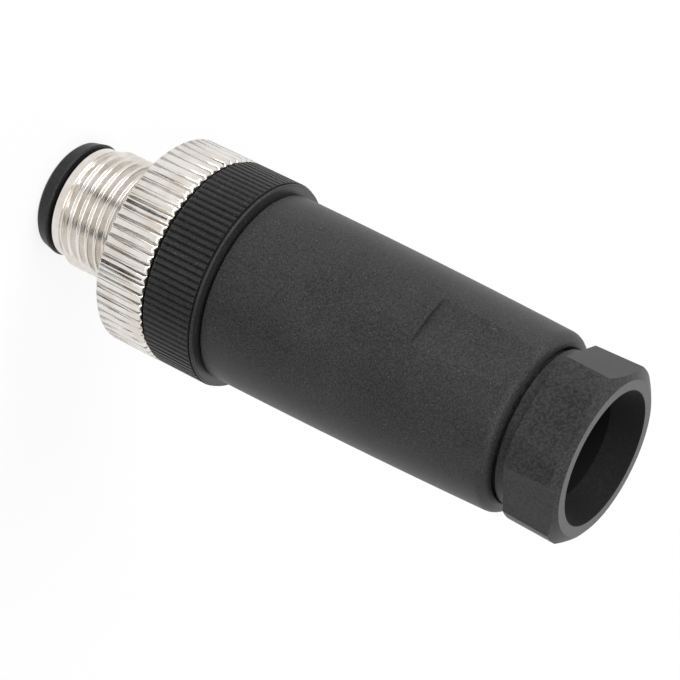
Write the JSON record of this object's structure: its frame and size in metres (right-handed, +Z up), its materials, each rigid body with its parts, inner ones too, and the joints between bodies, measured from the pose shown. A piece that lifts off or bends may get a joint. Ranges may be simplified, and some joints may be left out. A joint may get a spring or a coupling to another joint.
{
  "type": "circular cable plug",
  "caption": "Straight round cable plug with a threaded and knurled coupling screw, pin contacts, a black barrel housing with spanner flats and a hexagonal cable gland.",
  "frame": {"origin": "on the connector's axis, at the front end of the mating thread", "axes": "+Z up, along the axis from the pins to the cable gland"},
  "size_m": [0.0204, 0.0204, 0.0594],
  "materials": {
    "nickel": "nickel-plated brass, satin",
    "black_plastic": "moulded black plastic",
    "collar_plastic": "moulded black plastic, ribbed",
    "housing_plastic": "moulded black plastic, fine grain",
    "gland_plastic": "moulded black plastic, smooth",
    "insulator": "moulded black plastic",
    "cage_plastic": "dark grey plastic",
    "seal_rubber": "black rubber",
    "contact_gold": "gold-plated brass",
    "screw_steel": "plated steel"
  },
  "bodies": {
    "carrier": {"front_shroud": "black_plastic", "knurled_collar": "collar_plastic", "terminal_block": "insulator", "contact_pin_1": "contact_gold", "contact_pin_2": "contact_gold", "contact_pin_3": "contact_gold", "contact_pin_4": "contact_gold", "neck_o_ring": "seal_rubber"},
    "coupling_screw": {"coupling_screw": "nickel"},
    "cable_seal": {"cable_seal": "seal_rubber"},
    "rear_housing": {"rear_housing": "housing_plastic"},
    "clamp_cage": {"clamp_cage": "cage_plastic"},
    "pressure_screw": {"pressure_screw": "gland_plastic"},
    "terminal_screw_1": {"terminal_screw_1": "screw_steel"},
    "terminal_screw_2": {"terminal_screw_2": "screw_steel"},
    "terminal_screw_3": {"terminal_screw_3": "screw_steel"},
    "terminal_screw_4": {"terminal_screw_4": "screw_steel"}
  },
  "joints": [
    {"name": "coupling_turn", "type": "hinge", "parent": "carrier", "child": "coupling_screw", "pos_m": [0, 0, 0.01], "axis": [0, 0, 1], "continuous": true},
    {"name": "housing_travel", "type": "slide", "parent": "carrier", "child": "cable_seal", "axis": [0, 0, 1], "range_m": [0, 0.004]},
    {"name": "housing_turn", "type": "hinge", "parent": "cable_seal", "child": "rear_housing", "pos_m": [0, 0, 0.02], "axis": [0, 0, 1], "range_deg": [0, 1440]},
    {"name": "gland_travel", "type": "slide", "parent": "rear_housing", "child": "clamp_cage", "axis": [0, 0, 1], "range_m": [0, 0.0045]},
    {"name": "gland_turn", "type": "hinge", "parent": "clamp_cage", "child": "pressure_screw", "pos_m": [0, 0, 0.05], "axis": [0, 0, 1], "range_deg": [0, 1080]},
    {"name": "terminal_screw_1_travel", "type": "slide", "parent": "carrier", "child": "terminal_screw_1", "axis": [0.7071, 0.7071, 0], "range_m": [0, 0.001]},
    {"name": "terminal_screw_2_travel", "type": "slide", "parent": "carrier", "child": "terminal_screw_2", "axis": [-0.7071, 0.7071, 0], "range_m": [0, 0.001]},
    {"name": "terminal_screw_3_travel", "type": "slide", "parent": "carrier", "child": "terminal_screw_3", "axis": [-0.7071, -0.7071, 0], "range_m": [0, 0.001]},
    {"name": "terminal_screw_4_travel", "type": "slide", "parent": "carrier", "child": "terminal_screw_4", "axis": [0.7071, -0.7071, 0], "range_m": [0, 0.001]}
  ],
  "couplings": [
    {"joint": "housing_turn", "follows": "housing_travel", "rad_per_m": 6283.2},
    {"joint": "gland_turn", "follows": "gland_travel", "rad_per_m": 4188.8}
  ]
}
